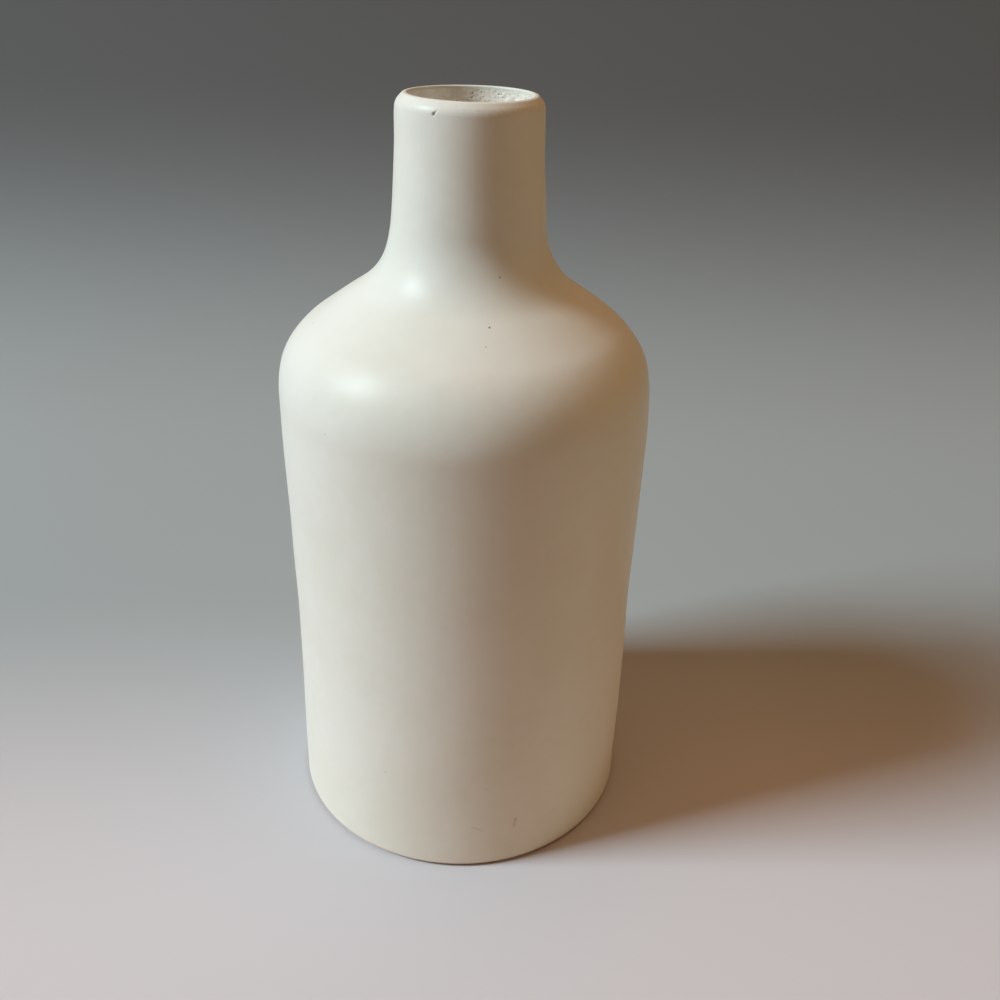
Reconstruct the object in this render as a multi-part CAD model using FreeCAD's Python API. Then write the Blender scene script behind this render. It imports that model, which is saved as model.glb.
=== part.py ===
"""Bottle vase in fired stoneware: a straight body, a sloped shoulder and a narrow neck.

A pot like this is one piece of clay with a coat of glaze fused to it on each side, so the
vase is built as those three layers, each a separate closed solid of revolution:

clay_body     the fired clay, with its bevelled foot, foot ring, shallow recess, wall and lip
outer_glaze   the satin coat, from the top of the foot bevel up, over the lip, into the mouth
liner_glaze   the glossy coat inside, from the mouth down the wall and across the floor

All four surfaces of the pot, which are the outer glaze, the clay outside, the clay inside
and the liner, come from one set of straight runs. Each surface moves the runs in by its own
depths, and meets them again in corners that are rounded in step. Two layers that touch
share the outline between them, so they meet face to face.

Units are millimetres. The axis is +Z and the origin is the centre of the standing plane.
"""
import FreeCAD
import Part
import math
import os

# Body, measured on the glaze
foot_radius = 68.8
waist_radius = 67.6
waist_height = 86.0
waist_round = 3000.0
belly_radius = 68.5
shoulder_height = 195.8
shoulder_round = 32.0

# Shoulder slope and neck, measured on the glaze
shoulder_rise = 28.2
throat_round = 30.0
neck_root_radius = 27.3
neck_top_radius = 24.3
neck_length = 56.0

# Lip, measured on the glaze
lip_drop = 2.6
lip_slope_width = 2.4
lip_outer_round = 4.5
lip_crown_round = 0.5

# Thickness of the clay in each part of the pot
base_thickness = 6.0
lower_wall = 5.2
upper_wall = 4.6
shoulder_wall = 4.6
neck_wall = 2.9
floor_round = 14.0

# Foot
foot_bevel_height = 1.6
foot_bevel_width = 2.2
foot_ring_width = 9.0
foot_recess_depth = 2.5
foot_recess_slope = 2.0

# Glaze
outer_glaze_thickness = 0.5
glaze_edge_bevel = 0.3
glaze_mouth_reach = 0.6
liner_glaze_thickness = 0.4

# A round takes up no more than this share of the shorter run beside it
round_run_share = 0.45
# Runs that turn by less than this sine are in line, and edges shorter than this are left out
least_turn = 0.000001
smallest_edge = 0.001


def moved(place, direction, distance):
    """The place, as (radius, height), that lies a distance away along a unit direction."""
    return (place[0] + direction[0] * distance, place[1] + direction[1] * distance)


def heading(start, end):
    """The unit direction from one place to another, and how far apart they are."""
    across = end[0] - start[0]
    up = end[1] - start[1]
    length = math.hypot(across, up)
    return (across / length, up / length), length


def turn(run_a, run_b):
    """The sine of the turn from one run to the next, above zero where the pot bulges out."""
    a, _ = heading(*run_a)
    b, _ = heading(*run_b)
    return a[0] * b[1] - a[1] * b[0]


def moved_in(run, depth):
    """A run that climbs the wall, moved by a depth square to itself, into the pot."""
    direction, _ = heading(*run)
    inward = (-direction[1], direction[0])
    return moved(run[0], inward, depth), moved(run[1], inward, depth)


def crossing(run_a, run_b):
    """The place where two runs meet, with both made as long as that needs."""
    sine = turn(run_a, run_b)
    if abs(sine) < least_turn:
        return run_a[1]
    a, _ = heading(*run_a)
    b, _ = heading(*run_b)
    gap = (run_b[0][0] - run_a[0][0], run_b[0][1] - run_a[0][1])
    return moved(run_a[0], a, (gap[0] * b[1] - gap[1] * b[0]) / sine)


def level(height):
    """A level run at a height, to cross a wall with."""
    return (0, height), (foot_radius, height)


overall_height = shoulder_height + shoulder_rise + neck_length
foot = (foot_radius, 0)
waist = (waist_radius, waist_height)
shoulder = (belly_radius, shoulder_height)
throat = (neck_root_radius, shoulder_height + shoulder_rise)
brim = (neck_top_radius, overall_height)
lower_run = (foot, waist)
upper_run = (waist, shoulder)
slope_run = (shoulder, throat)
neck_run = (throat, brim)


def corner_at_depth(run_a, run_b, depth_a, depth_b, glaze_round):
    """The corner between two runs that are each moved in by a depth, with its round.

    The round on the glaze is limited by the runs beside it. Deeper in, it shrinks where the
    pot bulges out and grows where it draws in, so that the wall keeps its thickness.
    """
    _, length_a = heading(*run_a)
    _, length_b = heading(*run_b)
    sine = turn(run_a, run_b)
    reach_share = math.tan(math.asin(min(abs(sine), 1)) / 2)
    room = min(length_a, length_b) * round_run_share
    if glaze_round * reach_share > room:
        glaze_round = room / reach_share
    depth = (depth_a + depth_b) / 2
    place = crossing(moved_in(run_a, depth_a), moved_in(run_b, depth_b))
    return place + (max(glaze_round - math.copysign(depth, sine), 0),)


def wall_corners(lower, upper, slope, neck):
    """The waist, shoulder and throat of the surface at these depths under the glaze."""
    return [
        corner_at_depth(lower_run, upper_run, lower, upper, waist_round),
        corner_at_depth(upper_run, slope_run, upper, slope, shoulder_round),
        corner_at_depth(slope_run, neck_run, slope, neck, throat_round),
    ]


def wall_at(run, depth, height):
    """The place on a run of the wall, moved in by a depth, at a height."""
    return crossing(moved_in(run, depth), level(height))


def lip_corners(depth):
    """The two corners of the rolled lip at a depth under the glaze: outer edge, then crown."""
    edge = wall_at(neck_run, 0, overall_height - lip_drop)
    crown = (edge[0] - lip_slope_width, overall_height)
    lip_run = (edge, crown)
    top_run = (crown, (0, overall_height))
    return [
        corner_at_depth((throat, edge), lip_run, depth, depth, lip_outer_round),
        corner_at_depth(lip_run, top_run, depth, depth, lip_crown_round),
    ]


def outer_wall(depth):
    """The outside of the pot at a depth under the glaze, from the foot bevel to the crown."""
    start = wall_at(lower_run, depth, foot_bevel_height)
    return [start + (0,)] + wall_corners(depth, depth, depth, depth) + lip_corners(depth)


clay_bore_depth = outer_glaze_thickness + neck_wall
clay_lip_height = overall_height - outer_glaze_thickness
clay_floor_height = foot_recess_depth + base_thickness
mouth_join_height = clay_lip_height - glaze_mouth_reach


def inner_wall(cover):
    """The inside of the pot, from the centre of the floor to where the glazes join.

    The cover is the thickness of liner on the clay at this surface, zero for the clay.
    """
    depth = outer_glaze_thickness + cover
    floor_height = clay_floor_height + cover
    floor_corner = wall_at(lower_run, depth + lower_wall, floor_height)
    walls = wall_corners(depth + lower_wall, depth + upper_wall, depth + shoulder_wall, depth + neck_wall)
    top = wall_at(neck_run, depth + neck_wall, mouth_join_height)
    floor = [(0, floor_height, 0), floor_corner + (max(floor_round - cover, 0),)]
    return floor + walls + [top + (0,)]


def point(place):
    """The point in the XZ plane for a place given as (radius, height)."""
    return FreeCAD.Vector(place[0], 0, place[1])


def outline(corners):
    """Straight edges and tangent arcs along an open line of corners: (first, last, edges).

    Each corner is (radius, height, round), and its round is a circular arc that touches
    both of its runs. Where a run is too short for it, the arc is limited by the run.
    """
    last = corners[0]
    edges = []
    for before, corner, after in zip(corners, corners[1:], corners[2:]):
        back, back_length = heading(corner, before)
        ahead, ahead_length = heading(corner, after)
        half_turn = (math.pi - math.acos(max(-1, back[0] * ahead[0] + back[1] * ahead[1]))) / 2
        reach = min(corner[2] * math.tan(half_turn), back_length / 2, ahead_length / 2)
        if reach < smallest_edge:
            edges.append(Part.LineSegment(point(last), point(corner)).toShape())
            last = corner
            continue
        start = moved(corner, back, reach)
        end = moved(corner, ahead, reach)
        inward, _ = heading(corner, ((start[0] + end[0]) / 2, (start[1] + end[1]) / 2))
        radius = reach / math.tan(half_turn)
        middle = moved(corner, inward, radius / math.cos(half_turn) - radius)
        if math.hypot(start[0] - last[0], start[1] - last[1]) > smallest_edge:
            edges.append(Part.LineSegment(point(last), point(start)).toShape())
        edges.append(Part.Arc(point(start), point(middle), point(end)).toShape())
        last = end
    edges.append(Part.LineSegment(point(last), point(corners[-1])).toShape())
    return corners[0], corners[-1], edges


def backwards(line):
    """The same outline, followed from its end to its start."""
    first, last, edges = line
    return last, first, edges[::-1]


def turned(*lines):
    """The solid that outlines enclose, followed in order, when they are turned about the axis.

    A straight edge closes each gap between the end of one outline and the start of the next.
    """
    edges = []
    for (_, here, line_edges), (there, _, _) in zip(lines, lines[1:] + lines[:1]):
        edges += line_edges
        if math.hypot(there[0] - here[0], there[1] - here[1]) > smallest_edge:
            edges.append(Part.LineSegment(point(here), point(there)).toShape())
    section = Part.Face(Part.Wire(edges))
    whole_turn = 360
    solid = section.revolve(FreeCAD.Vector(0, 0, 0), FreeCAD.Vector(0, 0, 1), whole_turn)
    return Part.Solid(solid.Shells[0])


def clay_outside():
    """The line between the clay and the outer glaze, from the foot bevel over the lip."""
    lip_inner_edge = wall_at(neck_run, clay_bore_depth, clay_lip_height)
    join = wall_at(neck_run, clay_bore_depth, mouth_join_height)
    return outline(outer_wall(outer_glaze_thickness) + [lip_inner_edge + (0,), join + (0,)])


def clay_body(outside, inside):
    """The fired clay, with the recess and the bevelled ring that it stands on."""
    ring_outer = outside[0][0] - foot_bevel_width
    ring_inner = ring_outer - foot_ring_width
    underside = outline([
        (0, foot_recess_depth, 0),
        (ring_inner - foot_recess_slope, foot_recess_depth, 0),
        (ring_inner, 0, 0),
        (ring_outer, 0, 0),
        outside[0],
    ])
    return turned(underside, outside, backwards(inside))


def outer_glaze(outside):
    """The satin coat, with a bevelled edge at its foot and at the mouth, and its end inside."""
    surface = outer_wall(0)
    foot_edge = surface[0]
    edge_start = (foot_edge[0] - glaze_edge_bevel, foot_edge[1], 0)
    edge_end = wall_at(lower_run, 0, foot_bevel_height + glaze_edge_bevel)
    liner_depth = clay_bore_depth + liner_glaze_thickness
    mouth_edge = wall_at(neck_run, liner_depth, overall_height)
    mouth_start = (mouth_edge[0] + glaze_edge_bevel, overall_height, 0)
    mouth_end = wall_at(neck_run, liner_depth, overall_height - glaze_edge_bevel)
    join = wall_at(neck_run, liner_depth, mouth_join_height)
    corners = [edge_start, edge_end + (0,)] + surface[1:] + [mouth_start, mouth_end + (0,), join + (0,)]
    return turned(outline(corners), backwards(outside))


def liner_glaze(inside):
    """The glossy coat that lines the pot and keeps it watertight."""
    return turned(inside, backwards(outline(inner_wall(liner_glaze_thickness))))


def main():
    """Builds the three layers and writes each to its own file."""
    os.makedirs("parts", exist_ok=True)
    outside = clay_outside()
    inside = outline(inner_wall(0))
    layers = {
        "clay_body": clay_body(outside, inside),
        "outer_glaze": outer_glaze(outside),
        "liner_glaze": liner_glaze(inside),
    }
    for name, solid in layers.items():
        solid.exportStep(os.path.join("parts", name + ".step"))
        size = solid.optimalBoundingBox()
        print(name, "valid", solid.isValid(), "volume", round(solid.Volume), "mm3, height", size.ZLength)


main()
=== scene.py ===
"""Finish, studio and view of a hand-thrown stoneware bottle vase.

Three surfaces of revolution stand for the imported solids: the fired clay with its bare foot, the satin
coat outside and the glossy liner. Each is a closed outline of straight runs and rounds, worked out from
the vase's own sizes and turned about Z on a numpy grid. One field of hand swells pushes all three in and
out alike, so the coats keep lying on the clay. Lengths are metres and angles are radians, in the packed
vase's frame, with Z up, and the tables of hand work and marks are in degrees and millimetres.
"""
import math
from functools import cached_property

import bpy
import numpy as np
from bpy.props import FloatProperty, FloatVectorProperty, PointerProperty
from mathutils import Matrix, Vector


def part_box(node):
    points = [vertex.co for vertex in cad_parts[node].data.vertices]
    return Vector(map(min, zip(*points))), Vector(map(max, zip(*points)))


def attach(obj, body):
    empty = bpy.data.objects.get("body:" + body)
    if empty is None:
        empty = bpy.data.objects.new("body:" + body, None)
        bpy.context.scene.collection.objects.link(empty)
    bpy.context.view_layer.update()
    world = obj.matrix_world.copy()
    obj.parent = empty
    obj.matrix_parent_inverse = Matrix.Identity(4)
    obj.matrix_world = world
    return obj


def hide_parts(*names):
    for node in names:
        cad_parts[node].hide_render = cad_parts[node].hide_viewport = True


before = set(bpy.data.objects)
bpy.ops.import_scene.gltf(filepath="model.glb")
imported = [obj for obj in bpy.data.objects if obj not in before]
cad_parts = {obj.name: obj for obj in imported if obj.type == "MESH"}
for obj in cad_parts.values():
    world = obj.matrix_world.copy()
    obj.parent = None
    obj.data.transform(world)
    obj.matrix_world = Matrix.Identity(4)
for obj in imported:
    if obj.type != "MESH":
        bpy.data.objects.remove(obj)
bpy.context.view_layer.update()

bl_info = {
    "name": "Bottle vase finish",
    "version": (1, 0, 0),
    "blender": (4, 5, 0),
    "location": "3D View > Sidebar > Vase",
    "description": "Clay, satin glaze, liner and studio of a thrown bottle vase",
    "category": "Add Mesh",
}

MM = 0.001
CLAY_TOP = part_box("clay_body")[1].z
GLAZE_LOW, GLAZE_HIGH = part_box("outer_glaze")
LINER_LOW, LINER_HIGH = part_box("liner_glaze")


def length(name, description, default):
    """A length that a user can set, in metres."""
    return FloatProperty(
        name=name, description=description, default=default, min=0, precision=5, unit="LENGTH"
    )


def angle(name, description, degrees):
    """An angle that a user can set, given in degrees and kept in radians."""
    return FloatProperty(name=name, description=description, default=math.radians(degrees), subtype="ANGLE")


def share(name, description, default):
    """A number from 0 to 1 that a user can set."""
    return FloatProperty(
        name=name, description=description, default=default, min=0, max=1, subtype="FACTOR"
    )


def colour(name, description, default):
    """A linear colour that a user can set."""
    return FloatVectorProperty(
        name=name, description=description, default=default, min=0, max=1, subtype="COLOR"
    )


def power(name, description, watts):
    """The power of a lamp that a user can set."""
    return FloatProperty(name=name, description=description, default=watts, min=0, unit="POWER")


class VaseForm(bpy.types.PropertyGroup):
    """Sizes of the vase, measured on its outer glaze unless the name says otherwise"""

    height: length("Height", "Standing plane to the top of the lip", GLAZE_HIGH.z)
    foot_radius: length("Foot radius", "Radius that the side would have at the standing plane", 68.8 * MM)
    waist_radius: length("Waist radius", "Radius where the side is slimmest", 67.6 * MM)
    waist_height: length("Waist height", "Height of the slimmest place", 86 * MM)
    waist_round: length("Waist round", "Round that joins the two runs of the side", 3000 * MM)
    belly_radius: length("Belly radius", "Radius where the side meets the shoulder slope", 68.5 * MM)
    shoulder_height: length("Shoulder height", "Height where the side meets the shoulder slope", 195.8 * MM)
    shoulder_round: length("Shoulder round", "Round of the shoulder", 32 * MM)
    throat_radius: length("Throat radius", "Radius where the slope meets the neck", 27.3 * MM)
    throat_height: length("Throat height", "Height where the slope meets the neck", 224 * MM)
    throat_round: length("Throat round", "Hollow round between the slope and the neck", 30 * MM)
    brim_radius: length("Brim radius", "Radius that the neck would have at the top of the lip", 24.3 * MM)
    lip_drop: length("Lip drop", "How far the lip's outer edge lies under its top", 2.6 * MM)
    lip_slope: length("Lip slope width", "Width of the slope on top of the lip", 2.4 * MM)
    lip_outer_round: length("Lip outer round", "Round of the lip's outer edge", 4.5 * MM)
    lip_crown_round: length("Lip crown round", "Round at the top of the lip", 1.5 * MM)
    lip_inner_round: length("Lip inner round", "Round at the mouth's crisp inner edge", 0.6 * MM)
    side_wall: length("Lower wall", "Clay thickness from the foot to the waist", 5.2 * MM)
    upper_wall: length("Upper wall", "Clay thickness from the waist over the shoulder", 4.6 * MM)
    neck_wall: length("Neck wall", "Clay thickness of the neck", 2.9 * MM)
    floor_height: length("Floor height", "Clay floor inside, above the standing plane", LINER_LOW.z)
    floor_round: length("Floor round", "Round between the floor and the wall, inside", 14 * MM)
    bevel_height: length("Bevel height", "Height of the bare bevel at the foot", GLAZE_LOW.z)
    bevel_width: length("Bevel width", "Width of the bare bevel at the foot", 2.2 * MM)
    ring_width: length("Ring width", "Width of the ring that the vase stands on", 9 * MM)
    ring_round: length("Ring round", "Round of the ring's two edges", 0.5 * MM)
    recess_depth: length("Recess depth", "Depth of the recess inside the foot ring", 2.5 * MM)
    recess_slope: length("Recess slope", "Width of the slope into the recess", 2 * MM)
    coat: length("Satin coat", "Thickness of the outer glaze", GLAZE_HIGH.z - CLAY_TOP)
    liner: length("Liner", "Thickness of the liner glaze", 0.4 * MM)
    join_height: length("Join height", "Height in the mouth where the two glazes meet", LINER_HIGH.z)


class VaseFinish(bpy.types.PropertyGroup):
    """Colours and gloss of the clay and the glazes"""

    glaze: colour("Satin glaze", "Warm white of the outer glaze", (0.80, 0.785, 0.70))
    glaze_pool: colour("Thick glaze", "Outer glaze where it lies thicker", (0.83, 0.82, 0.755))
    glaze_thin: colour("Thin glaze", "Outer glaze where an edge thins it over the clay", (0.70, 0.55, 0.44))
    glaze_roughness: share("Satin roughness", "Roughness of the outer glaze", 0.37)
    liner: colour("Liner glaze", "Pale warm white of the liner", (0.97, 0.89, 0.79))
    liner_stain: colour("Liner stain", "Liner where it is stained and pitted", (0.50, 0.42, 0.33))
    liner_roughness: share("Liner roughness", "Roughness of the liner", 0.20)
    clay: colour("Clay", "Buff of the bare clay", (0.56, 0.44, 0.32))
    clay_dark: colour("Dark grains", "Darker grains in the clay", (0.27, 0.18, 0.12))
    clay_pale: colour("Pale grains", "Paler grains in the clay", (0.74, 0.64, 0.52))
    iron: colour("Iron specks", "Specks and pits in the glaze", (0.10, 0.065, 0.045))
    wear: colour("Scuffs", "Brown of handling marks low on the side", (0.46, 0.32, 0.26))


class VaseStudio(bpy.types.PropertyGroup):
    """Floor, lamps and camera"""

    camera_place: FloatVectorProperty(
        name="Camera", description="Place of the camera", default=(0, -0.34701, 0.3216), unit="LENGTH"
    )
    camera_pitch: angle("Camera pitch", "How far the camera looks down", 28.947)
    camera_pan: angle("Camera pan", "How far the camera turns from +Y to +X", 2.298)
    camera_roll: angle("Camera roll", "How far the camera leans", 1.978)
    key_azimuth: angle("Key azimuth", "Direction of the key lamp about Z, from +X", 190)
    key_elevation: angle("Key elevation", "Height of the key lamp above the horizon", 37)
    key_distance: length("Key distance", "Distance of the key lamp", 5.0)
    key_power: power("Key power", "Power of the key lamp", 280)
    key: colour("Key light", "Cool daylight of the key lamp", (0.762, 0.93, 1.0))
    fill_power: power("Fill power", "Power of the fill lamp, low on the other side", 6)
    fill: colour("Fill light", "Warm light of the fill lamp", (1.0, 0.92, 0.48))
    glow_power: power("Glow power", "Power of the warm lamp overhead", 22)
    glow: colour("Glow light", "Warm light of the lamp overhead", (1.0, 0.52, 0.25))
    room: colour("Room light", "Warm dim light from all round", (0.003, 0.002, 0.0015))
    bounce: colour("Near bounce", "Warm light that the paper near the vase throws back", (0.79, 0.60, 0.51))
    bounce_far: colour("Far bounce", "Dimmer light that the paper far off throws back", (0.34, 0.19, 0.13))
    floor_near: colour("Floor", "Pale paper under and before the vase", (0.668, 0.642, 0.674))
    # Painted shade: the sweep's grey and the dark backdrop stand in for light that falls off behind and
    # above the vase
    floor_far_shaded: colour("Sweep", "Paper where it starts to rise behind the vase", (0.362, 0.405, 0.42))
    backdrop_shaded: colour("Backdrop", "Paper high up behind the vase", (0.118, 0.121, 0.124))


# Shape of the sections

# A round shorter than this is left crisp, and none takes more than this share of a run beside it. The
# dense step is that of the sum along a stretch.
SHORTEST = 0.001 * MM
RUN_SHARE = 0.45
ARC_POINTS = 48
DENSE_STEP = 0.05 * MM


def heading(run):
    """Unit direction of a run, which is an array of two (radius, height) places."""
    step = run[1] - run[0]
    return step / np.hypot(*step)


def moved_in(run, depth):
    """A run that climbs the wall, moved by a depth square to itself, into the pot."""
    across, up = heading(run)
    return run + depth * np.array([-up, across])


def sine_of_turn(run_a, run_b):
    """Sine of the turn from one run to the next: the cross product of their headings."""
    a, b = heading(run_a), heading(run_b)
    return a[0] * b[1] - a[1] * b[0]


def crossing(run_a, run_b):
    """Where two runs meet: the first run's start plus its heading times (gap x b) / (a x b)."""
    a, b = heading(run_a), heading(run_b)
    gap = run_b[0] - run_a[0]
    return run_a[0] + a * (gap[0] * b[1] - gap[1] * b[0]) / sine_of_turn(run_a, run_b)


def corner(run_a, run_b, depth_a, depth_b, glaze_round):
    """(radius, height, round) where two runs meet under the glaze, the round less or more by the depth."""
    sine = sine_of_turn(run_a, run_b)
    place = crossing(moved_in(run_a, depth_a), moved_in(run_b, depth_b))
    return (*place, max(glaze_round - math.copysign((depth_a + depth_b) / 2, sine), 0))


def crisp(place):
    """A corner with no round."""
    return (*place, 0)


class Section:
    """The vase's runs and corners on one side of its axis, at any depth under the outer glaze."""

    def __init__(self, form):
        self.form = form
        places = [
            (form.foot_radius, 0),
            (form.waist_radius, form.waist_height),
            (form.belly_radius, form.shoulder_height),
            (form.throat_radius, form.throat_height),
            (form.brim_radius, form.height),
        ]
        self.runs = [np.array(pair) for pair in zip(places, places[1:])]
        self.bore_depth = form.coat + form.neck_wall

    def on_wall(self, run, depth, height):
        """Place on a run of the wall, moved in by a depth, at a height."""
        level = np.array([(0, height), (self.form.foot_radius, height)])
        return crossing(moved_in(self.runs[run], depth), level)

    def wall(self, lower, upper, slope, neck):
        """Waist, shoulder and throat at these depths."""
        form = self.form
        depths = (lower, upper, slope, neck)
        rounds = (form.waist_round, form.shoulder_round, form.throat_round)
        pairs = zip(self.runs, self.runs[1:], depths, depths[1:], rounds)
        return [corner(*pair) for pair in pairs]

    def lip(self, depth):
        """Outer edge and crown of the lip at a depth."""
        form = self.form
        edge = self.on_wall(-1, 0, form.height - form.lip_drop)
        crown = np.array([edge[0] - form.lip_slope, form.height])
        neck = np.array([self.runs[-1][0], edge])
        slope = np.array([edge, crown])
        top = np.array([crown, (0, form.height)])
        return [
            corner(neck, slope, depth, depth, form.lip_outer_round),
            corner(slope, top, depth, depth, form.lip_crown_round),
        ]

    def outside(self, depth):
        """Outer wall and lip at a depth, without its start at the foot."""
        return self.wall(depth, depth, depth, depth) + self.lip(depth)

    def inside(self, cover):
        """Floor and inner wall up to where the glazes join, under a thickness of liner."""
        form = self.form
        depth = form.coat + cover
        floor = form.floor_height + cover
        start = self.on_wall(0, depth + form.side_wall, floor)
        wall = self.wall(
            depth + form.side_wall, depth + form.upper_wall, depth + form.upper_wall, depth + form.neck_wall
        )
        top = self.on_wall(-1, depth + form.neck_wall, form.join_height)
        return [(0, floor, 0), (*start, form.floor_round - cover), *wall, crisp(top)]

    def clay_outside(self):
        """Line between the clay and the outer glaze, from the foot bevel over the lip to the join."""
        form = self.form
        foot = self.on_wall(0, form.coat, form.bevel_height)
        mouth = self.on_wall(-1, self.bore_depth, form.height - form.coat)
        join = self.on_wall(-1, self.bore_depth, form.join_height)
        return [crisp(foot), *self.outside(form.coat), crisp(mouth), crisp(join)]


def smooth_stretches(corners):
    """Arrays of (radius, height) points along a line of corners, one array between each two crisp corners.

    A round is the arc that touches both runs. A point at an angle t of its turn is the arc's centre plus
    the spoke to the arc's start, turned by t.
    """
    corners = np.array(corners)
    places = corners[:, :2]
    steps = np.diff(places, axis=0)
    lengths = np.hypot(*steps.T)
    along = steps / lengths[:, None]
    stretches = []
    points = [places[:1]]
    for i in range(1, len(places) - 1):
        before, after = along[i - 1], along[i]
        turn = math.atan2(before[0] * after[1] - before[1] * after[0], before @ after)
        room = min(lengths[i - 1], lengths[i]) * RUN_SHARE
        reach = min(corners[i, 2] * math.tan(abs(turn) / 2), room)
        if reach < SHORTEST:
            stretches.append(np.concatenate([*points, places[i : i + 1]]))
            points = [places[i : i + 1]]
            continue
        radius = reach / math.tan(abs(turn) / 2) * math.copysign(1, turn)
        start = places[i] - before * reach
        spoke = radius * np.array([before[1], -before[0]])
        t = np.linspace(0, turn, ARC_POINTS)[:, None]
        turned_spoke = spoke * np.cos(t) + np.array([-spoke[1], spoke[0]]) * np.sin(t)
        points.append(start - spoke + turned_spoke)
    stretches.append(np.concatenate([*points, places[-1:]]))
    return stretches


def spaced(stretch, pitch):
    """Points along a stretch at equal steps of the integral of length over the pitch at each height."""
    reach = np.concatenate([[0], np.cumsum(np.hypot(*np.diff(stretch, axis=0).T))])
    along = np.linspace(0, reach[-1], max(int(reach[-1] / DENSE_STEP), 2))
    height = np.interp(along, reach, stretch[:, 1])
    rate = 1 / pitch(height)
    count = np.concatenate([[0], np.cumsum((rate[1:] + rate[:-1]) / 2 * np.diff(along))])
    places = np.interp(np.linspace(0, count[-1], max(math.ceil(count[-1]), 1) + 1), count, along)
    return np.stack([np.interp(places, reach, stretch[:, k]) for k in (0, 1)], axis=1)


def line(corners, pitch):
    """One array of (radius, height) points along a line of corners, with each crisp corner kept."""
    parts = [spaced(stretch, pitch) for stretch in smooth_stretches(corners)]
    return np.concatenate([parts[0], *[part[1:] for part in parts[1:]]])


def stepped(heights, pitches):
    """A pitch that runs from one value to the next between heights, all given in millimetres."""
    return lambda height: np.interp(height, np.array(heights) * MM, np.array(pitches) * MM)


def even(pitch):
    """The same pitch at every height."""
    return lambda height: np.full_like(height, pitch)


# Hand work on the surfaces

# Swells left by the hand: azimuth and height of the middle, spread about the axis and along it, and push
# outwards, in degrees and millimetres.
SWELLS = [
    (-176, 274, 50, 4, 0.35),
    (-178, 234, 45, 5, 0.50),
    (176, 213, 40, 4, 0.55),
    (-179, 193, 40, 5, 0.50),
    (-168, 160, 45, 12, 0.25),
    (-169, 66, 50, 22, -0.40),
    (-4, 260, 50, 7, -0.38),
    (4, 210, 40, 4, 0.50),
    (4, 201, 40, 4, -0.60),
    (-7, 183, 40, 7, -0.72),
    (-11, 56, 50, 18, 0.48),
    (-11, 4, 50, 9, -0.40),
]
# Slow waves round and up the side: waves about the axis, waves per metre of height, phase and size in
# millimetres.
WAVES = [(3, 9, 0.6, 0.05), (5, -14, 2.1, 0.04), (2, 23, 4.0, 0.05), (7, 31, 1.2, 0.02)]
# How far up the foot calms the swells, how far it draws in, and how near the axis they fade
FOOT_CALM = 9 * MM
FOOT_DRAW = 0.12 * MM
AXIS_CALM = 6 * MM
# The dip of the rim: its size, where it starts on the neck, its waves about the axis and their phase
RIM_DIP = 0.12 * MM
RIM_DIP_START = 262 * MM
RIM_WAVES = 2
RIM_PHASE = 0.7
SMALLEST_STEP = 1e-12


def around(azimuth, middle_degrees):
    """Angle from a middle to each azimuth, the short way round."""
    return np.angle(np.exp(1j * (azimuth - math.radians(middle_degrees))))


def hand_push(azimuth, height):
    """How far the hand pushed the wall out: a sum of bell-shaped swells and of sine waves round and up it.

    Near the foot the sum fades out and the wall draws in a little instead.
    """
    push = np.zeros(np.broadcast(azimuth, height).shape)
    for middle, level, spread, rise, amount in SWELLS:
        about = around(azimuth, middle) / math.radians(spread)
        along = (height - level * MM) / (rise * MM)
        push += amount * MM * np.exp(-(about**2) - along**2 / 2)
    for turns, rate, phase, amount in WAVES:
        push += amount * MM * np.sin(turns * azimuth + math.tau * rate * height + phase)
    near_foot = np.exp(-height / FOOT_CALM)
    return push * (1 - near_foot) - FOOT_DRAW * near_foot


def rim_dip(azimuth, height):
    """How far the rim dips: a wave round the mouth, never above the top, that fades out down the neck."""
    rise = np.clip((height - RIM_DIP_START) / (GLAZE_HIGH.z - RIM_DIP_START), 0, 1)
    return RIM_DIP * (np.sin(RIM_WAVES * azimuth + RIM_PHASE) - 1) / 2 * rise**2


def shaped(section, azimuths):
    """Grid of points: each section point turned to each azimuth, with the hand's push and the rim's dip.

    A point is (r cos a, r sin a, z), where r has the push added, less so close to the axis.
    """
    azimuth = azimuths[None, :]
    radius, height = section[:, :1], section[:, 1:]
    calm = radius**2 / (radius**2 + AXIS_CALM**2)
    radius = radius + hand_push(azimuth, height) * calm
    height = height + rim_dip(azimuth, height)
    return np.stack([radius * np.cos(azimuth), radius * np.sin(azimuth), height], axis=2)


def outward(section, azimuths):
    """Normals of the turned section: its heading, turned a quarter to the right, at each azimuth."""
    step = np.gradient(section, axis=0)
    step /= np.maximum(np.hypot(*step.T), SMALLEST_STEP)[:, None]
    across, up = step[:, 1:], -step[:, :1]
    azimuth = azimuths[None, :]
    return np.stack([across * np.cos(azimuth), across * np.sin(azimuth), up + 0 * azimuth], axis=2)


# The pit under the lip and the nick that runs up from it: azimuth in degrees, height, radius and depth in
# millimetres.
LIP_PITS = [
    (-117.6, 276.2, 0.52, 0.36),
    (-116.6, 276.7, 0.27, 0.20),
    (-115.8, 277.0, 0.24, 0.15),
    (-115.0, 277.3, 0.20, 0.09),
]
# Beads of thick glaze in the mouth, listed like the pits and raised by a depth below zero.
BEADS = [
    (57, 277.4, 0.75, -0.20),
    (52, 275.9, 0.90, -0.24),
    (46, 277.2, 0.60, -0.16),
    (40, 275.8, 0.80, -0.20),
    (31, 277.3, 0.70, -0.18),
    (18, 277.6, 0.60, -0.15),
]
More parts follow.
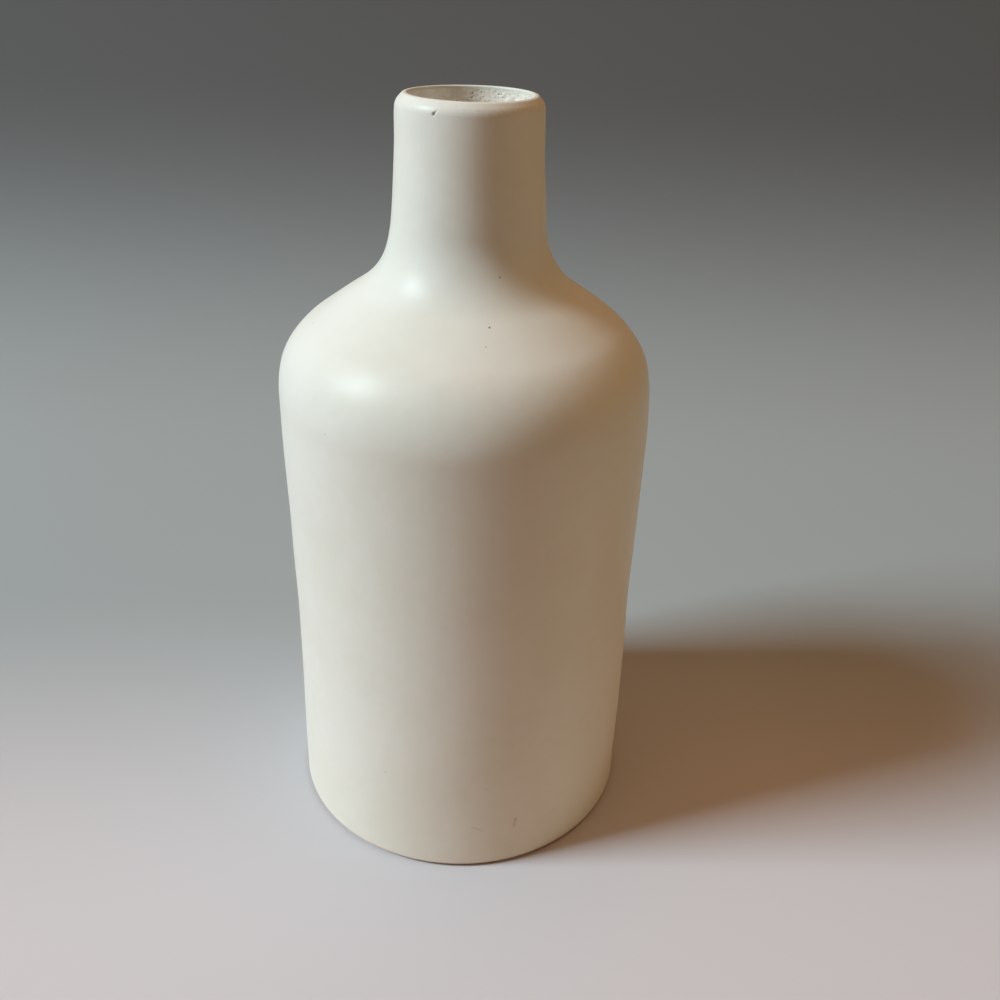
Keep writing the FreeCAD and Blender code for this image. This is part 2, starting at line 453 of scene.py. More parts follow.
# Pinholes in the mouth: how many, their middle and spread about the axis in degrees, and the ranges of
# their heights, radii and depths in millimetres and of a factor on the radii.
PINHOLE_SEED = 29
PINHOLE_COUNT = 130
PINHOLE_MIDDLE = 50
PINHOLE_SPREAD = 42
PINHOLE_HEIGHTS = (266, 278.5)
PINHOLE_RADII = (0.14, 0.38)
PINHOLE_UNEVEN = (0.7, 1.3)
PINHOLE_DEPTHS = (0.06, 0.30)


def pinholes():
    """Places of the pinholes in the mouth, as rows like those of the pits."""
    random = np.random.default_rng(PINHOLE_SEED)
    azimuth = random.normal(PINHOLE_MIDDLE, PINHOLE_SPREAD, PINHOLE_COUNT)
    height = random.uniform(*PINHOLE_HEIGHTS, PINHOLE_COUNT)
    radius = random.uniform(*PINHOLE_RADII, PINHOLE_COUNT)
    radius *= random.uniform(*PINHOLE_UNEVEN, PINHOLE_COUNT)
    depth = random.uniform(*PINHOLE_DEPTHS, PINHOLE_COUNT)
    return np.stack([azimuth, height, radius, depth], axis=1)


def azimuths_round(count, middle_degrees, crowding):
    """Azimuths that crowd about a middle: u - crowding * sin(u) for evenly spaced u."""
    u = np.arange(count) * math.tau / count - math.pi
    return u - crowding * np.sin(u) + math.radians(middle_degrees)


def pits(azimuth, height, radius_there, places):
    """Depth of round pits: a sum of flat-bottomed bells, the depth times e to the minus reach^4.

    Each place is (azimuth, height, radius, depth) in degrees and millimetres, and the reach is the distance
    from it as a share of its radius.
    """
    depth = np.zeros(np.broadcast(azimuth, height).shape)
    for middle, level, size, deep in places:
        about = around(azimuth, middle) * radius_there
        apart = np.hypot(about, height - level * MM) / (size * MM)
        depth += deep * MM * np.exp(-(apart**4))
    return depth


def stained(pit, full_depth, start, limit):
    """How much darker a pit is coloured: its depth as a share of the full depth, less a start, up to a
    limit.
    """
    return np.clip(pit / full_depth - start, 0, limit)


# Meshes

# Edges sharper than this are shaded as edges
CREASE = math.radians(40)
NO_FACES = np.zeros((0, 3), int)


def ring_faces(rows, columns, closed):
    """Corner numbers of the grid's quads, wrapped about the axis, and from last row to first if closed."""
    i = np.arange(rows if closed else rows - 1)[:, None]
    j = np.arange(columns)[None, :]
    below, above = i * columns, (i + 1) % rows * columns
    across = (j + 1) % columns
    return np.stack([below + j, below + across, above + across, above + j], axis=2).reshape(-1, 4)


def turned_mesh(name, grid, poles=None, **attributes):
    """Object of a grid of rings, closed at its two poles, or from its last ring back to its first."""
    rows, columns, _ = grid.shape
    points = grid.reshape(-1, 3)
    quads = ring_faces(rows, columns, poles is None)
    fans = NO_FACES
    if poles is not None:
        low, high = len(points), len(points) + 1
        points = np.concatenate([points, poles])
        j = np.arange(columns)
        across = (j + 1) % columns
        last = (rows - 1) * columns
        low_fan = np.stack([np.full(columns, low), across, j], axis=1)
        high_fan = np.stack([np.full(columns, high), last + j, last + across], axis=1)
        fans = np.concatenate([low_fan, high_fan])
    made = mesh_object(name, points, quads, fans)
    made.data.set_sharp_from_angle(angle=CREASE)
    for label, values in attributes.items():
        layer = made.data.attributes.new(label, "FLOAT", "POINT")
        flat = np.zeros(len(points), np.float32)
        flat[: rows * columns] = np.broadcast_to(values, (rows, columns)).reshape(-1)
        layer.data.foreach_set("value", flat)
    return made


def mesh_object(name, points, quads, triangles):
    """Object of a smooth-shaded mesh with these corner points, four-sided faces and three-sided faces."""
    mesh = bpy.data.meshes.new(name)
    mesh.vertices.add(len(points))
    mesh.vertices.foreach_set("co", points.astype(np.float32).reshape(-1))
    corners = np.concatenate([quads.reshape(-1), triangles.reshape(-1)]).astype(np.int32)
    mesh.loops.add(len(corners))
    mesh.loops.foreach_set("vertex_index", corners)
    starts = np.concatenate([np.arange(len(quads)) * 4, quads.size + np.arange(len(triangles)) * 3])
    mesh.polygons.add(len(starts))
    mesh.polygons.foreach_set("loop_start", starts.astype(np.int32))
    mesh.polygons.foreach_set("use_smooth", np.ones(len(starts), bool))
    mesh.update(calc_edges=True)
    if mesh.validate():
        raise RuntimeError(name + " has faces that don't hold together")
    made = bpy.data.objects.new(name, mesh)
    bpy.context.scene.collection.objects.link(made)
    return made


# Materials

# Where a spot is full, as a share of its size
SPOT_CORE = 0.45
# Sockets of a mix node that hold colours
MIX_COLOURS = slice(6, 8)
MIX_RESULT = 2


class Shader:
    """Builds a material's or world's nodes, with each input given by name as a value or an output."""

    def __init__(self, owner):
        owner.use_nodes = True
        self.owner = owner
        self.tree = owner.node_tree
        self.tree.nodes.clear()

    @cached_property
    def place(self):
        """Object coordinates, which every pattern on a piece reads."""
        return self.add("TexCoord").outputs["Object"]

    def add(self, kind, settings=None, **inputs):
        """A new node with its settings and inputs."""
        node = self.tree.nodes.new("ShaderNode" + kind)
        for name, value in (settings or {}).items():
            setattr(node, name, value)
        for name, value in inputs.items():
            self.give(node.inputs[name.replace("_", " ")], value)
        return node

    def give(self, socket, value):
        """Sets an input to a value, or links an output to it."""
        if isinstance(value, bpy.types.NodeSocket):
            self.tree.links.new(value, socket)
        else:
            socket.default_value = value

    def noise(self, size, detail=2.0, stretch=(1, 1, 1), roughness=0.5):
        """Noise from 0 to 1 whose features are about a size across, stretched along each axis."""
        moved = self.add("Mapping", Vector=self.place, Scale=stretch).outputs[0]
        node = self.add("TexNoise", Vector=moved, Scale=1 / size, Detail=detail, Roughness=roughness)
        return node.outputs["Fac"]

    def band(self, value, low, high, start=0.0, end=1.0):
        """A smooth rise from start to end as a value goes from low to high."""
        node = self.add("MapRange", {"interpolation_type": "SMOOTHSTEP"}, Value=value)
        for name, number in zip(("From Min", "From Max", "To Min", "To Max"), (low, high, start, end)):
            node.inputs[name].default_value = number
        return node.outputs[0]

    def patches(self, shows, span=(0.0, 1.0), **noise):
        """Noise turned into patches: it goes from one end of a span to the other across a band."""
        return self.band(self.noise(**noise), *shows, *span)

    def math(self, operation, a, b=0.0):
        """One sum or product of two numbers."""
        node = self.add("Math", {"operation": operation})
        self.give(node.inputs[0], a)
        self.give(node.inputs[1], b)
        return node.outputs[0]

    def mixed(self, factor, a, b):
        """One colour turning into another with a factor."""
        node = self.add("Mix", {"data_type": "RGBA"})
        self.give(node.inputs[0], factor)
        for socket, value in zip(node.inputs[MIX_COLOURS], (a, b)):
            is_output = isinstance(value, bpy.types.NodeSocket)
            self.give(socket, value if is_output else (*value, 1))
        return node.outputs[MIX_RESULT]

    def measured(self, operation, vector):
        """One number from the place and a vector, such as their distance or their dot product."""
        node = self.add("VectorMath", {"operation": operation})
        self.give(node.inputs[0], self.place)
        node.inputs[1].default_value = vector
        return node.outputs["Value"]

    def spot(self, centre, size):
        """1 inside a ball about a centre, falling to 0 at its size."""
        return self.band(self.measured("DISTANCE", centre), size, size * SPOT_CORE)

    def seen(self):
        """1 for what the camera, a gloss or a glass sees, and 0 for light that it throws elsewhere."""
        path = self.add("LightPath").outputs
        seen = self.math("MAXIMUM", path["Is Camera Ray"], path["Is Glossy Ray"])
        return self.math("MAXIMUM", seen, path["Is Transmission Ray"])

    def carried(self, name):
        """A value that the mesh carries at each of its points."""
        return self.add("Attribute", {"attribute_name": name}).outputs["Fac"]

    def bumped(self, height, depth, normal=None):
        """The normal of a relief of this depth."""
        node = self.add("Bump", Height=height, Distance=depth, Strength=1.0)
        if normal is not None:
            self.give(node.inputs["Normal"], normal)
        return node.outputs[0]

    def finish(self, **inputs):
        """The principled surface with its inputs, as the material's output."""
        surface = self.add("BsdfPrincipled", **inputs)
        self.add("OutputMaterial", Surface=surface.outputs[0])
        return self.owner


# Iron specks on the satin coat: azimuth in degrees, height and radius in millimetres, and how dark each is.
SPECKS = [
    (-80.1, 214.8, 0.45, 0.95),
    (-82.7, 210.6, 0.35, 0.45),
    (-69.6, 227.5, 0.40, 0.70),
    (-167.6, 205.2, 0.60, 0.20),
    (-132.1, 181.0, 0.55, 0.18),
    (-115.0, 43.8, 0.70, 0.16),
    (-143.0, 120.5, 0.35, 0.25),
    (-24.0, 96.0, 0.50, 0.50),
    (38.0, 205.0, 0.45, 0.80),
    (74.0, 61.0, 0.60, 0.60),
    (112.0, 188.0, 0.40, 0.70),
    (150.0, 27.0, 0.55, 0.50),
]
# Scuffs low on the side: azimuth and height of one end and of the other, and width, in degrees and
# millimetres, and how strongly each shows.
SCUFFS = [
    (-71.4, 23.6, -72.0, 18.0, 1.15, 0.36),
    (-86.7, 22.0, -82.1, 19.0, 0.50, 0.24),
    (-83.8, 42.0, -80.5, 40.5, 0.40, 0.20),
]
# Spacing of the points on the outline that the marks are placed on
MARK_PITCH = 0.5 * MM

# Patterns of the satin coat: slow and fine mottling, the grain of worn spots, clouds of gloss, the peel
# and grain of the surface, and the breaks in a scuff.
MOTTLE = {"size": 38 * MM, "stretch": (1, 1, 0.6)}
FINE_MOTTLE = {"size": 5 * MM, "detail": 3.0}
FINE_SHARE = 0.35
POOLED = (0.50, 0.85)
WORN_GRAIN = {"size": 0.9 * MM, "detail": 3.0, "roughness": 0.6, "shows": (0.45, 0.68)}
GLOSS_CLOUDS = {"size": 16 * MM, "detail": 3.0, "stretch": (1, 1, 1.8), "shows": (0.3, 0.7)}
GLOSS_STEPS = (-0.025, 0.03)
PIT_DULLS = 0.3
PEEL = {"size": 3.2 * MM, "stretch": (1, 1, 1.7)}
PEEL_DEPTH = 0.022 * MM
GRAIN = {"size": 0.6 * MM}
GRAIN_DEPTH = 0.003 * MM
SATIN_IOR = 1.5
SATIN_SHINE = 0.19
SCUFF_BREAKS = {"size": 1.6 * MM, "shows": (0.3, 0.55)}
SCUFF_CORE = 0.2

# Patterns of the liner: stains, clouds of gloss, ripple, and pocks on one side of the mouth, which is a
# direction from the axis with the reach along it where they start and are full.
STAINS = {"size": 9 * MM, "detail": 3.0, "stretch": (1, 1, 1.4), "shows": (0.52, 0.72), "span": (0, 0.16)}
WET_CLOUDS = {"size": 4 * MM, "shows": (0.35, 0.65)}
WET_STEPS = (0, 0.1)
RIPPLE = {"size": 1.7 * MM}
RIPPLE_DEPTH = 0.13 * MM
POCKED_SIDE = (0.64, 0.77, 0.0)
POCKED_REACH = (13 * MM, 20 * MM)
POCKS = {"size": 1.2 * MM, "detail": 1.0, "shows": (0.62, 0.40)}
POCK_DEPTH = 0.065 * MM
LINER_IOR = 1.52

# Patterns of the bare clay: warm clouds, dark and pale grains, and sand.
CLAY_CLOUDS = {"size": 21 * MM, "detail": 3.0, "shows": (0.35, 0.7), "span": (0, 0.5)}
DARK_GRAINS = {"size": 1.1 * MM, "detail": 3.0, "roughness": 0.6, "shows": (0.60, 0.72), "span": (0, 0.6)}
PALE_GRAINS = {"size": 0.8 * MM, "stretch": (1.1, 0.9, 1.0), "shows": (0.62, 0.74), "span": (0, 0.5)}
SAND = {"size": 0.7 * MM, "detail": 4.0, "roughness": 0.65}
SAND_DEPTH = 0.08 * MM
CLAY_ROUGHNESS = (0.82, 0.92)
CLAY_IOR = 1.45

# The paper: its fibre and tooth, the stretches of depth plus height over which its painted shade greys and
# darkens it, the reach aside over which the shade darkens it, and the distance over which its bounce fades.
FIBRE = {"size": 0.9 * MM, "detail": 3.0, "shows": (0.3, 0.7), "span": (0.70, 0.80)}
TOOTH = {"size": 1.5 * MM}
TOOTH_DEPTH = 0.01 * MM
SWEEP_SHADE_GREYS = (-0.12, 0.13)
SWEEP_SHADE_DARKENS = (0.27, 1.07)
SWEEP_SHADE_ASIDE = (0.75, 1.9)
BOUNCE_FADES = (0.12, 0.75)


def on_coat(section, azimuth_degrees, height_mm):
    """Point of the outer coat at an azimuth and a height, with the hand's push."""
    height = height_mm * MM
    outer = line([crisp(section.on_wall(0, 0, 0)), *section.outside(0)], even(MARK_PITCH))
    rising = outer[np.concatenate([[True], np.diff(outer[:, 1]) > 0])]
    azimuth = math.radians(azimuth_degrees)
    push = float(hand_push(np.array(azimuth), np.array(height)))
    radius = np.interp(height, rising[:, 1], rising[:, 0]) + push
    return Vector((radius * math.cos(azimuth), radius * math.sin(azimuth), height))


def satin_glaze(section, finish):
    """Satin warm white: mottling, thin warm edges, iron specks, scuffs, a dark pit and uneven gloss."""
    shader = Shader(bpy.data.materials.new("satin_glaze"))
    fine = shader.math("MULTIPLY", shader.noise(**FINE_MOTTLE), FINE_SHARE)
    mottle = shader.math("ADD", shader.noise(**MOTTLE), fine)
    base = shader.mixed(shader.band(mottle, *POOLED), finish.glaze, finish.glaze_pool)
    base = shader.mixed(shader.carried("thin_edge"), base, finish.glaze_thin)
    worn = shader.math("MULTIPLY", shader.carried("worn_lip"), shader.patches(**WORN_GRAIN))
    base = shader.mixed(worn, base, finish.glaze_thin)
    for azimuth, height, size, dark in SPECKS:
        spot = shader.spot(on_coat(section, azimuth, height), size * MM)
        base = shader.mixed(shader.math("MULTIPLY", spot, dark), base, finish.iron)
    for azimuth_a, height_a, azimuth_b, height_b, width, strength in SCUFFS:
        ends = on_coat(section, azimuth_a, height_a), on_coat(section, azimuth_b, height_b)
        scuff = scuff_mask(shader, *ends, width)
        base = shader.mixed(shader.math("MULTIPLY", scuff, strength), base, finish.wear)
    base = shader.mixed(shader.carried("pit"), base, finish.iron)
    span = [finish.glaze_roughness + step for step in GLOSS_STEPS]
    rough = shader.patches(span=span, **GLOSS_CLOUDS)
    rough = shader.math("ADD", rough, shader.math("MULTIPLY", shader.carried("pit"), PIT_DULLS))
    peel = shader.bumped(shader.noise(**PEEL), PEEL_DEPTH)
    grain = shader.bumped(shader.noise(**GRAIN), GRAIN_DEPTH, peel)
    return shader.finish(
        Base_Color=base, Roughness=rough, Normal=grain, IOR=SATIN_IOR, Specular_IOR_Level=SATIN_SHINE
    )


def scuff_mask(shader, start, end, width_mm):
    """A broken short line: full where the way past a place from end to end is hardly a detour."""
    along = (end - start).length
    detour = shader.math("ADD", shader.measured("DISTANCE", start), shader.measured("DISTANCE", end))
    slack = (width_mm * MM) ** 2 / along
    near = shader.band(detour, along + slack, along + slack * SCUFF_CORE)
    return shader.math("MULTIPLY", near, shader.patches(**SCUFF_BREAKS))


def liner_glaze(finish):
    """Glossy liner: pale warm white with slow stains, darker pinholes and a wet, slightly rippled shine."""
    shader = Shader(bpy.data.materials.new("liner_glaze"))
    base = shader.mixed(shader.patches(**STAINS), finish.liner, finish.liner_stain)
    base = shader.mixed(shader.carried("pit"), base, finish.liner_stain)
    span = [finish.liner_roughness + step for step in WET_STEPS]
    rough = shader.patches(span=span, **WET_CLOUDS)
    ripple = shader.bumped(shader.noise(**RIPPLE), RIPPLE_DEPTH)
    pocked = shader.band(shader.measured("DOT_PRODUCT", POCKED_SIDE), *POCKED_REACH)
    pocks = shader.math("MULTIPLY", pocked, shader.patches(**POCKS))
    ripple = shader.bumped(pocks, POCK_DEPTH, ripple)
    return shader.finish(Base_Color=base, Roughness=rough, Normal=ripple, IOR=LINER_IOR)


def fired_clay(finish):
    """Bare stoneware: buff body with dark and pale grains, slow warm clouds and a dry, sandy relief."""
    shader = Shader(bpy.data.materials.new("fired_clay"))
    clouds = shader.patches(**CLAY_CLOUDS)
    base = shader.mixed(clouds, finish.clay, finish.clay_pale)
    base = shader.mixed(shader.patches(**DARK_GRAINS), base, finish.clay_dark)
    base = shader.mixed(shader.patches(**PALE_GRAINS), base, finish.clay_pale)
    rough = shader.band(clouds, *CLAY_CLOUDS["span"], *CLAY_ROUGHNESS)
    sand = shader.bumped(shader.noise(**SAND), SAND_DEPTH)
    return shader.finish(Base_Color=base, Roughness=rough, Normal=sand, IOR=CLAY_IOR)


def paper(studio):
    """Pale paper with painted shade: it greys as it sweeps back and up, by depth plus height, and darkens
    far to each side.

    It shows these tones to the camera and in a gloss, and throws its warm bounce onto other surfaces.
    """
    shader = Shader(bpy.data.materials.new("paper_sweep"))
    parts = shader.add("SeparateXYZ", Vector=shader.place)
    back = shader.math("ADD", parts.outputs["Y"], parts.outputs["Z"])
    # Painted shade: the paper's tone greys and darkens back, up and to each side, where less light falls
    base = shader.mixed(shader.band(back, *SWEEP_SHADE_GREYS), studio.floor_near, studio.floor_far_shaded)
    base = shader.mixed(shader.band(back, *SWEEP_SHADE_DARKENS), base, studio.backdrop_shaded)
    aside = shader.math("ABSOLUTE", parts.outputs["X"])
    base = shader.mixed(shader.band(aside, *SWEEP_SHADE_ASIDE), base, studio.backdrop_shaded)
    faded = shader.band(shader.measured("DISTANCE", (0, 0, 0)), *BOUNCE_FADES)
    thrown = shader.mixed(faded, studio.bounce, studio.bounce_far)
    base = shader.mixed(shader.seen(), thrown, base)
    tooth = shader.bumped(shader.noise(**TOOTH), TOOTH_DEPTH)
    return shader.finish(
        Base_Color=base, Roughness=shader.patches(**FIBRE), Normal=tooth, Specular_IOR_Level=0.0
    )


# Operators, one for each piece and one for the studio

# Spacing of the points along each section, and for the coats their heights and spacings in millimetres,
# closer where more shows.
HIDDEN_PITCH = 6 * MM
BARE_PITCH = 0.45 * MM
COAT_PITCH = stepped((0, 1, 3, 8, 190, 225, 266, 271), (0.12, 0.12, 0.5, 2.2, 2.0, 1.4, 0.8, 0.24))
LINER_PITCH = stepped((0, 200, 245, 262, 267), (6, 3, 1.5, 0.8, 0.17))
# Points round each ring, the azimuth in degrees that they crowd about, and how much they crowd
CLAY_RING = (240, 0, 0)
COAT_RING = (300, -112, 0.5)
LINER_RING = (420, 60, 0.4)
# Trimming rings in the recess: pitch, depth, and how far from its edge they are full
TRIM_PITCH = 3.4 * MM
TRIM_DEPTH = 0.16 * MM
TRIM_FADE = 3 * MM
# Throwing rings in the mouth: pitch, size, and how far below the join they are full
RING_PITCH = 5.5 * MM
RING_SIZE = 0.06 * MM
RING_FADE = 4 * MM
# Thin glaze at the mouth's edge, strongest at an azimuth, and at the foot's edge: width and strength
THIN_EDGE_WIDTH = 0.55 * MM
THIN_EDGE_TONE = 0.6
THIN_EDGE_AZIMUTH = -115
FOOT_EDGE_WIDTH = 0.7 * MM
FOOT_EDGE_TONE = 0.6
# How these edges waver in width: share, turns of the two waves that are multiplied, and phase
WAVER = 0.35
WAVER_TURNS = (3, 8)
WAVER_PHASE = 1
# Worn spots along the lip: strength, drop below the top, reach up and down, middle and spread
LIP_WEAR_TONE = 0.42
LIP_WEAR_DROP = 2.3 * MM
LIP_WEAR_REACH = 1.7 * MM
LIP_WEAR_AZIMUTH = -55
LIP_WEAR_SPREAD = math.radians(70)
# Darker colour in the pits, growing with their depth: the depth that would darken fully, the start taken
# off, and the limit
COAT_PIT_DARKENING = (0.277 * MM, 0.15, 0.75)
LINER_PIT_DARKENING = (0.32 * MM, 0.12, 0.5)


class VASE_OT_fired_clay(bpy.types.Operator):
    """Adds the fired clay, with its foot ring, trimmed recess and bare bevel"""

    bl_idname = "vase.fired_clay"
    bl_label = "Add Fired Clay"

    def execute(self, context):
        form = context.scene.vase_form
        section = Section(form)
        outside = section.clay_outside()
        foot = outside[0]
        ring_outer = foot[0] - form.bevel_width
        ring_inner = ring_outer - form.ring_width
        recess_edge = ring_inner - form.recess_slope
        underside = [
            (0, form.recess_depth, 0),
            (recess_edge, form.recess_depth, form.recess_slope),
            (ring_inner, 0, form.ring_round),
            (ring_outer, 0, form.ring_round),
            foot,
        ]
        bare = line(underside, even(BARE_PITCH))
        covered = line(outside, even(HIDDEN_PITCH))
        cavity = line(section.inside(0), even(HIDDEN_PITCH))[::-1]
        profile = np.concatenate([bare[1:], covered[1:], cavity[1:-1]])
        azimuths = azimuths_round(*CLAY_RING)
        relief = np.zeros((len(profile), 1))
        radius = profile[: len(bare) - 1, :1]
        trimmed = np.clip((recess_edge - radius) / TRIM_FADE, 0, 1)
        wave = (0.5 + 0.5 * np.sin(math.tau * radius / TRIM_PITCH)) ** 2
        relief[: len(bare) - 1] = -TRIM_DEPTH * trimmed * wave
        grid = shaped(profile, azimuths) + outward(profile, azimuths) * relief[:, :, None]
        poles = [(0, 0, form.recess_depth), (0, 0, form.floor_height)]
        made = turned_mesh("thrown_clay", grid, poles)
        made.data.materials.append(fired_clay(context.scene.vase_finish))
        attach(made, "root")
        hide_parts("clay_body")
        return {"FINISHED"}


class VASE_OT_satin_coat(bpy.types.Operator):
    """Adds the satin outer coat, from its rolled edge at the foot over the lip into the mouth"""

    bl_idname = "vase.satin_coat"
    bl_label = "Add Satin Coat"

    def execute(self, context):
        form = context.scene.vase_form
        section = Section(form)
        foot = section.on_wall(0, 0, form.bevel_height)
        liner_depth = section.bore_depth + form.liner
        mouth = section.on_wall(-1, liner_depth, form.height)
        join = section.on_wall(-1, liner_depth, form.join_height)
        start = (foot[0] - form.coat, form.bevel_height, 0)
        mouth_edge = (*mouth, form.lip_inner_round)
        corners = [start, (*foot, form.coat), *section.outside(0), mouth_edge, crisp(join)]
        surface = line(corners, COAT_PITCH)
        hidden = line(section.clay_outside(), even(HIDDEN_PITCH))
        profile = np.concatenate([surface, hidden[::-1]])
        azimuths = azimuths_round(*COAT_RING)
        shown = (np.arange(len(profile)) < len(surface))[:, None]
        azimuth, height = azimuths[None, :], profile[:, 1:]
        pit = pits(azimuth, height, profile[:, :1], LIP_PITS) * shown
        grid = shaped(profile, azimuths) - outward(profile, azimuths) * pit[:, :, None]
        edge = np.hypot(profile[:, 0] - mouth[0], profile[:, 1] - mouth[1])[:, None]
        slow, quick = WAVER_TURNS
        waver = 1 + WAVER * np.sin(slow * azimuth + WAVER_PHASE) * np.sin(quick * azimuth)
        facing = 0.5 + 0.5 * np.cos(azimuth - math.radians(THIN_EDGE_AZIMUTH))
        thin = THIN_EDGE_TONE * facing * np.exp(-((edge / (THIN_EDGE_WIDTH * waver)) ** 2)) * shown
        foot_edge = (height - form.bevel_height) / (FOOT_EDGE_WIDTH * waver)
        thin = np.maximum(thin, FOOT_EDGE_TONE * np.exp(-(foot_edge**2)) * shown)
        to_crown = (height - form.height + LIP_WEAR_DROP) / LIP_WEAR_REACH
        to_middle = around(azimuth, LIP_WEAR_AZIMUTH) / LIP_WEAR_SPREAD
        worn = LIP_WEAR_TONE * np.exp(-(to_crown**2) - to_middle**2) * shown
        # The pit is coloured darker with its depth
        stain = stained(pit, *COAT_PIT_DARKENING)
        made = turned_mesh("satin_coat", grid, thin_edge=thin, worn_lip=worn, pit=stain)
        made.data.materials.append(satin_glaze(section, context.scene.vase_finish))
        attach(made, "root")
        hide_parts("outer_glaze")
        return {"FINISHED"}


class VASE_OT_glossy_liner(bpy.types.Operator):
    """Adds the glossy liner with its throwing rings, pinholes and beads"""

    bl_idname = "vase.glossy_liner"
    bl_label = "Add Glossy Liner"

    def execute(self, context):
        form = context.scene.vase_form
        section = Section(form)
        hidden = line(section.inside(0), even(HIDDEN_PITCH))
        surface = line(section.inside(form.liner), LINER_PITCH)[::-1]
        profile = np.concatenate([hidden[1:], surface[:-1]])
        azimuths = azimuths_round(*LINER_RING)
        shown = (np.arange(len(profile)) >= len(hidden) - 1)[:, None]
        azimuth, height = azimuths[None, :], profile[:, 1:]
        places = np.concatenate([pinholes(), BEADS])
        pit = pits(azimuth, height, profile[:, :1], places) * shown
        below_lip = np.clip((form.join_height - height) / RING_FADE, 0, 1)
        rings = RING_SIZE * np.sin(math.tau * height / RING_PITCH + azimuth) * below_lip * shown
        relief = rings - pit
        grid = shaped(profile, azimuths) + outward(profile, azimuths) * relief[:, :, None]
        poles = [(0, 0, form.floor_height), (0, 0, form.floor_height + form.liner)]
        # The pinholes are coloured darker with their depth, the beads not at all
        made = turned_mesh("liner_coat", grid, poles, pit=stained(pit, *LINER_PIT_DARKENING))
        made.data.materials.append(liner_glaze(context.scene.vase_finish))
        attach(made, "root")
        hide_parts("liner_glaze")
        return {"FINISHED"}


# Studio, in metres. The sweep's floor reaches well past the camera and to each side, and its wall stands
# behind the vase. The lamps point at the middle of the vase.
FLOOR_REACH = 7.0
WALL_START = 0.42
WALL_ROUND = 0.60
WALL_TOP = 1.9
SWEEP_POINTS = 40
TARGET = Vector((0, 0, 0.14))
KEY_SIZE = (1.35, 1.9)
FILL_PLACE = Vector((2.25, -0.4, 0.6))
FILL_SIZE = (1.8, 1.8)
GLOW_PLACE = Vector((0.2, 0, 2.6))
GLOW_SIZE = (2.4, 2.4)
# The camera's sensor and lens, both this many millimetres, and the nearest distance that it sees
SENSOR = 36
CLIP_START = 0.01


def paper_sweep():
    """The sweep: a floor, a quarter turn and a wall in Y and Z, carried straight along X."""
    t = np.linspace(0, math.pi / 2, SWEEP_POINTS)
    arc = np.stack([WALL_START + WALL_ROUND * np.sin(t), WALL_ROUND * (1 - np.cos(t))], axis=1)
    side = np.concatenate([[(-FLOOR_REACH, 0)], arc, [(WALL_START + WALL_ROUND, WALL_TOP)]])
    grid = np.zeros((len(side), 2, 3))
    grid[:, :, 0] = FLOOR_REACH, -FLOOR_REACH
    grid[:, :, 1:] = side[:, None, :]
    first = np.arange(len(side) - 1)[:, None] * 2
    quads = first + np.array([[1, 0, 2, 3]])
    return mesh_object("paper_sweep", grid.reshape(-1, 3), quads, NO_FACES)


def lamp(name, place, size, watts, tint):
    """A rectangular lamp at a place, turned to the vase and hidden from the camera."""
    data = bpy.data.lights.new(name, "AREA")
    data.shape = "RECTANGLE"
    data.size, data.size_y = size
    data.energy = watts
    data.color = tint
    made = bpy.data.objects.new(name, data)
    made.location = place
    made.rotation_euler = (TARGET - place).to_track_quat("-Z", "Y").to_euler()
    made.visible_camera = False
    bpy.context.scene.collection.objects.link(made)


def room_light(studio):
    """World: warm dim light on things, and the backdrop's painted grey shade where a camera or gloss sees
    past it.
    """
    world = bpy.data.worlds.new("studio")
    bpy.context.scene.world = world
    shader = Shader(world)
    light = shader.add("Background", Color=(*studio.room, 1)).outputs[0]
    # The backdrop's painted shade, shown where the camera or a gloss sees past the sweep
    shown = shader.add("Background", Color=(*studio.backdrop_shaded, 1)).outputs[0]
    mix = shader.add("MixShader")
    for socket, value in zip(mix.inputs, (shader.seen(), light, shown)):
        shader.give(socket, value)
    shader.add("OutputWorld", Surface=mix.outputs[0])


def camera(studio):
    """Camera at its place: its heading from pan and pitch, and its right and up turned by the roll."""
    pan, pitch, roll = studio.camera_pan, studio.camera_pitch, studio.camera_roll
    ahead = Vector((math.sin(pan) * math.cos(pitch), math.cos(pan) * math.cos(pitch), -math.sin(pitch)))
    right = Vector((math.cos(pan), -math.sin(pan), 0))
    up = right.cross(ahead)
    rolled_right = right * math.cos(roll) + up * math.sin(roll)
    rolled_up = up * math.cos(roll) - right * math.sin(roll)
    data = bpy.data.cameras.new("camera")
    data.lens = SENSOR
    data.sensor_width = SENSOR
    data.clip_start = CLIP_START
    made = bpy.data.objects.new("camera", data)
    turn = Matrix((rolled_right, rolled_up, -ahead)).transposed().to_4x4()
    made.matrix_world = Matrix.Translation(studio.camera_place) @ turn
    bpy.context.scene.collection.objects.link(made)
    bpy.context.scene.camera = made


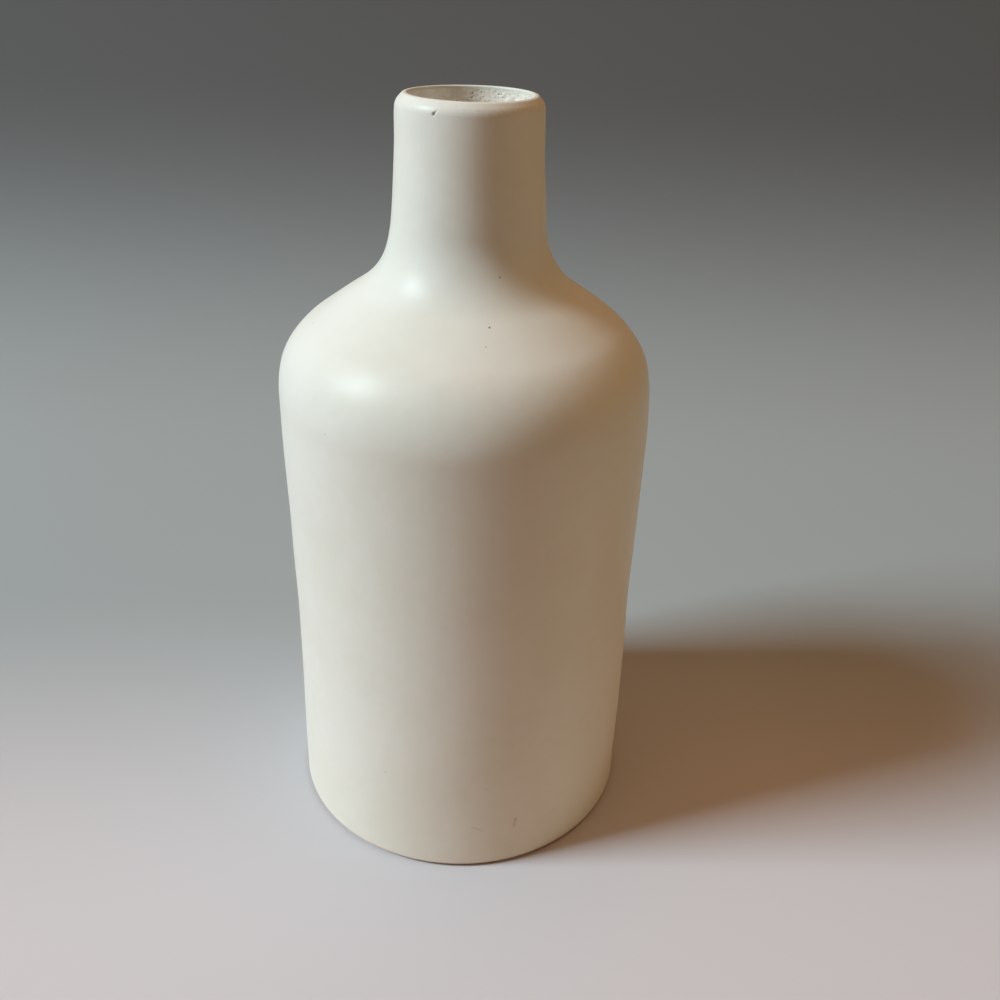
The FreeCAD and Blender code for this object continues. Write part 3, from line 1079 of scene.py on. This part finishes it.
class VASE_OT_studio(bpy.types.Operator):
    """Adds the pale sweep, the soft lamps, the room light and the camera"""

    bl_idname = "vase.studio"
    bl_label = "Add Studio"

    def execute(self, context):
        studio = context.scene.vase_studio
        sweep = paper_sweep()
        sweep.data.materials.append(paper(studio))
        azimuth, elevation = studio.key_azimuth, studio.key_elevation
        flat = math.cos(elevation)
        towards_key = Vector((math.cos(azimuth) * flat, math.sin(azimuth) * flat, math.sin(elevation)))
        lamp("key_lamp", TARGET + towards_key * studio.key_distance, KEY_SIZE, studio.key_power, studio.key)
        lamp("fill_lamp", FILL_PLACE, FILL_SIZE, studio.fill_power, studio.fill)
        lamp("glow_lamp", GLOW_PLACE, GLOW_SIZE, studio.glow_power, studio.glow)
        room_light(studio)
        camera(studio)
        context.scene.view_settings.view_transform = "Standard"
        return {"FINISHED"}


class VASE_PT_sidebar(bpy.types.Panel):
    """The vase's operators and settings"""

    bl_idname = "VASE_PT_sidebar"
    bl_label = "Bottle Vase"
    bl_space_type = "VIEW_3D"
    bl_region_type = "UI"
    bl_category = "Vase"

    def draw(self, context):
        for operator in OPERATORS:
            self.layout.operator(operator.bl_idname)
        for name in GROUPS:
            box = self.layout.box()
            group = getattr(context.scene, name)
            for setting in group.__annotations__:
                box.prop(group, setting)


OPERATORS = (VASE_OT_fired_clay, VASE_OT_satin_coat, VASE_OT_glossy_liner, VASE_OT_studio)
GROUPS = {"vase_form": VaseForm, "vase_finish": VaseFinish, "vase_studio": VaseStudio}


def register():
    """Makes the settings, the operators and the panel known to Blender."""
    for name, group in GROUPS.items():
        bpy.utils.register_class(group)
        setattr(bpy.types.Scene, name, PointerProperty(type=group))
    for operator in OPERATORS:
        bpy.utils.register_class(operator)
    bpy.utils.register_class(VASE_PT_sidebar)


def unregister():
    """Takes the panel, the operators and the settings away again."""
    bpy.utils.unregister_class(VASE_PT_sidebar)
    for operator in reversed(OPERATORS):
        bpy.utils.unregister_class(operator)
    for name, group in reversed(GROUPS.items()):
        delattr(bpy.types.Scene, name)
        bpy.utils.unregister_class(group)


def main():
    """Builds the vase and its studio."""
    register()
    bpy.ops.vase.fired_clay()
    bpy.ops.vase.satin_coat()
    bpy.ops.vase.glossy_liner()
    bpy.ops.vase.studio()


if __name__ == "__main__":
    main()
